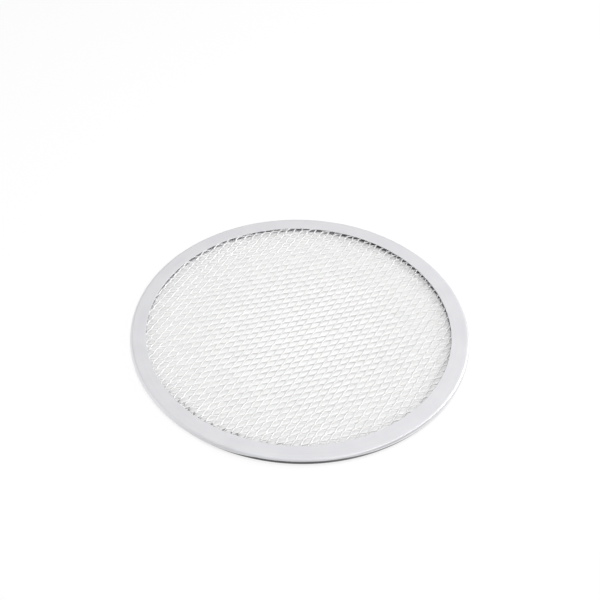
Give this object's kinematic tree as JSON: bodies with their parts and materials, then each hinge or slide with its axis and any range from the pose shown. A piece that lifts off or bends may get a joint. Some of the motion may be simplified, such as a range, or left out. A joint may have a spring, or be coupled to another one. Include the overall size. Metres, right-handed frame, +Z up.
{
  "type": "pizza screen",
  "caption": "Round open-mesh baking screen: a disc of raised expanded aluminium held all round in a flat folded aluminium rim.",
  "frame": {"origin": "under the middle of the disc, on the plane that the rim's underside rests on", "axes": "+Z up out of the disc, +X along the long way of the mesh, +Y along its short way"},
  "size_m": [0.254, 0.254, 0.0048],
  "materials": {
    "mesh": "bright mill finish, softly satin",
    "rim": "satin, with faint marks round the ring"
  },
  "bodies": {
    "root": {"mesh_disc": "mesh", "rim": "rim"}
  },
  "joints": []
}
